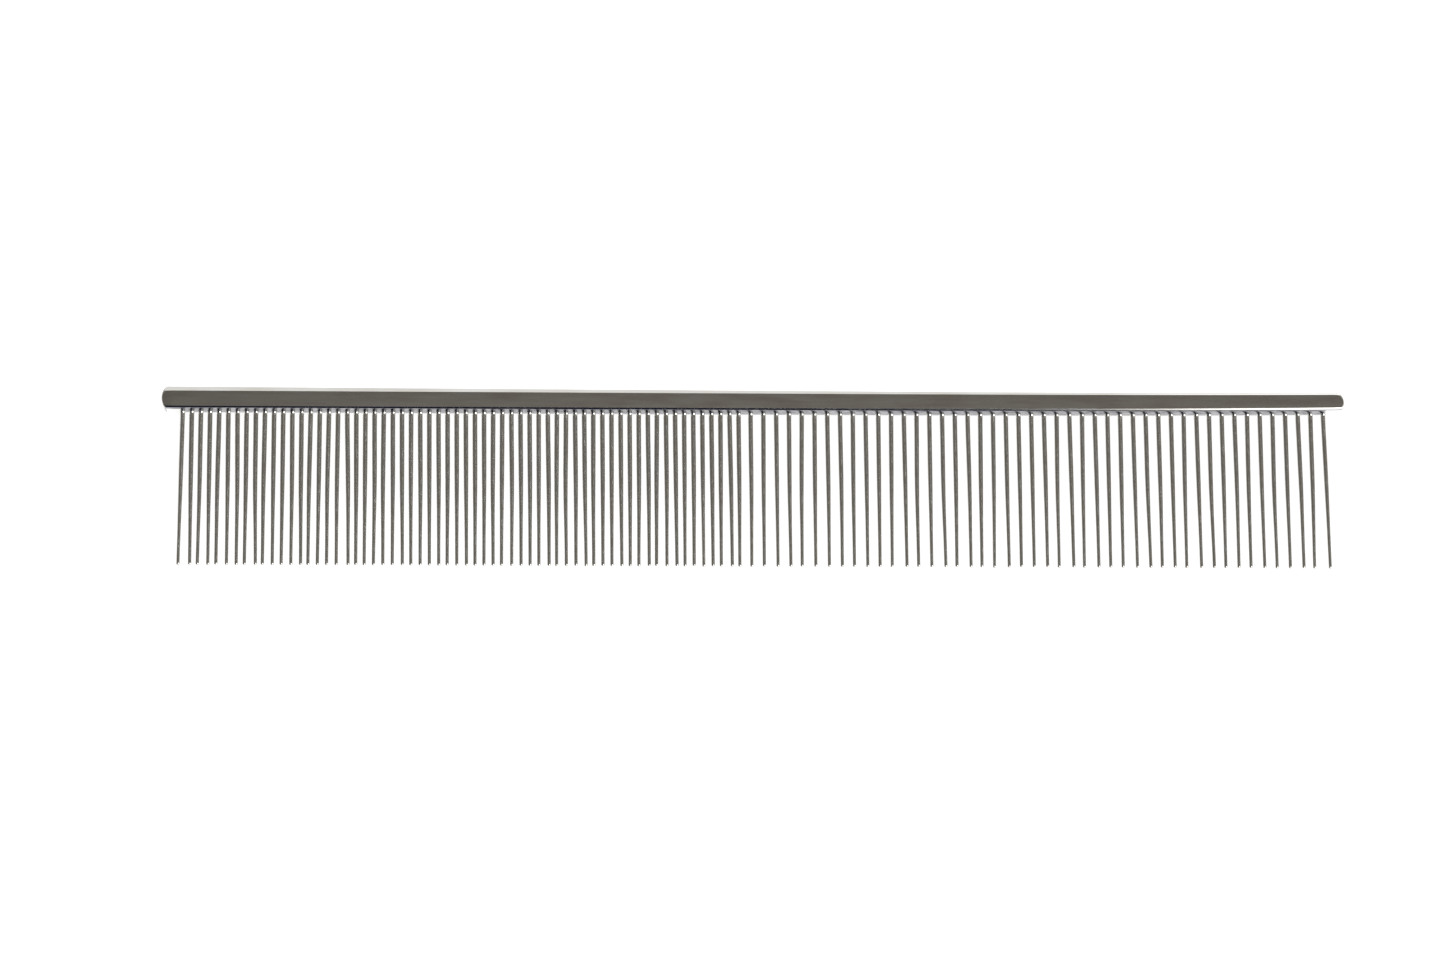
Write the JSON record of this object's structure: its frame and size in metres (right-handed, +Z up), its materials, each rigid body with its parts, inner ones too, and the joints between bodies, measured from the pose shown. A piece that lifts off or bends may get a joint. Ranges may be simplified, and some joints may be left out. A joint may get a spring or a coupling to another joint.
{
  "type": "grooming comb",
  "caption": "Straight steel pet grooming comb: a solid rounded spine holding one row of tapered round pins, closely set along one half and widely set along the other.",
  "frame": {"origin": "on the surface the comb lies on, under the middle of its overall length and width", "axes": "+X along the spine from the closely set pins to the widely set pins, +Y from the pin tips to the spine, +Z up out of the front face"},
  "size_m": [0.2506, 0.0383, 0.004],
  "materials": {
    "spine_steel": "nickel-plated, brushed along its length, worn satin",
    "pin_steel": "nickel-plated, polished, fine grinding marks towards the tip"
  },
  "bodies": {
    "root": {"spine": "spine_steel", "fine_pins_01": "pin_steel", "fine_pins_02": "pin_steel", "fine_pins_03": "pin_steel", "fine_pins_04": "pin_steel", "fine_pins_05": "pin_steel", "fine_pins_06": "pin_steel", "fine_pins_07": "pin_steel", "fine_pins_08": "pin_steel", "fine_pins_09": "pin_steel", "fine_pins_10": "pin_steel", "fine_pins_11": "pin_steel", "fine_pins_12": "pin_steel", "fine_pins_13": "pin_steel", "coarse_pin_01": "pin_steel", "coarse_pin_02": "pin_steel", "coarse_pin_03": "pin_steel", "coarse_pin_04": "pin_steel", "coarse_pin_05": "pin_steel", "coarse_pin_06": "pin_steel", "coarse_pin_07": "pin_steel", "coarse_pin_08": "pin_steel", "coarse_pin_09": "pin_steel", "coarse_pin_10": "pin_steel", "coarse_pin_11": "pin_steel", "coarse_pin_12": "pin_steel", "coarse_pin_13": "pin_steel", "coarse_pin_14": "pin_steel", "coarse_pin_15": "pin_steel", "coarse_pin_16": "pin_steel", "coarse_pin_17": "pin_steel", "coarse_pin_18": "pin_steel", "coarse_pin_19": "pin_steel", "coarse_pin_20": "pin_steel", "coarse_pin_21": "pin_steel", "coarse_pin_22": "pin_steel", "coarse_pin_23": "pin_steel", "coarse_pin_24": "pin_steel", "coarse_pin_25": "pin_steel", "coarse_pin_26": "pin_steel", "coarse_pin_27": "pin_steel", "coarse_pin_28": "pin_steel", "coarse_pin_29": "pin_steel", "coarse_pin_30": "pin_steel", "coarse_pin_31": "pin_steel", "coarse_pin_32": "pin_steel", "coarse_pin_33": "pin_steel", "coarse_pin_34": "pin_steel", "coarse_pin_35": "pin_steel", "coarse_pin_36": "pin_steel", "coarse_pin_37": "pin_steel", "coarse_pin_38": "pin_steel", "coarse_pin_39": "pin_steel", "coarse_pin_40": "pin_steel", "coarse_pin_41": "pin_steel", "coarse_pin_42": "pin_steel", "coarse_pin_43": "pin_steel", "coarse_pin_44": "pin_steel", "coarse_pin_45": "pin_steel", "coarse_pin_46": "pin_steel"}
  },
  "joints": []
}
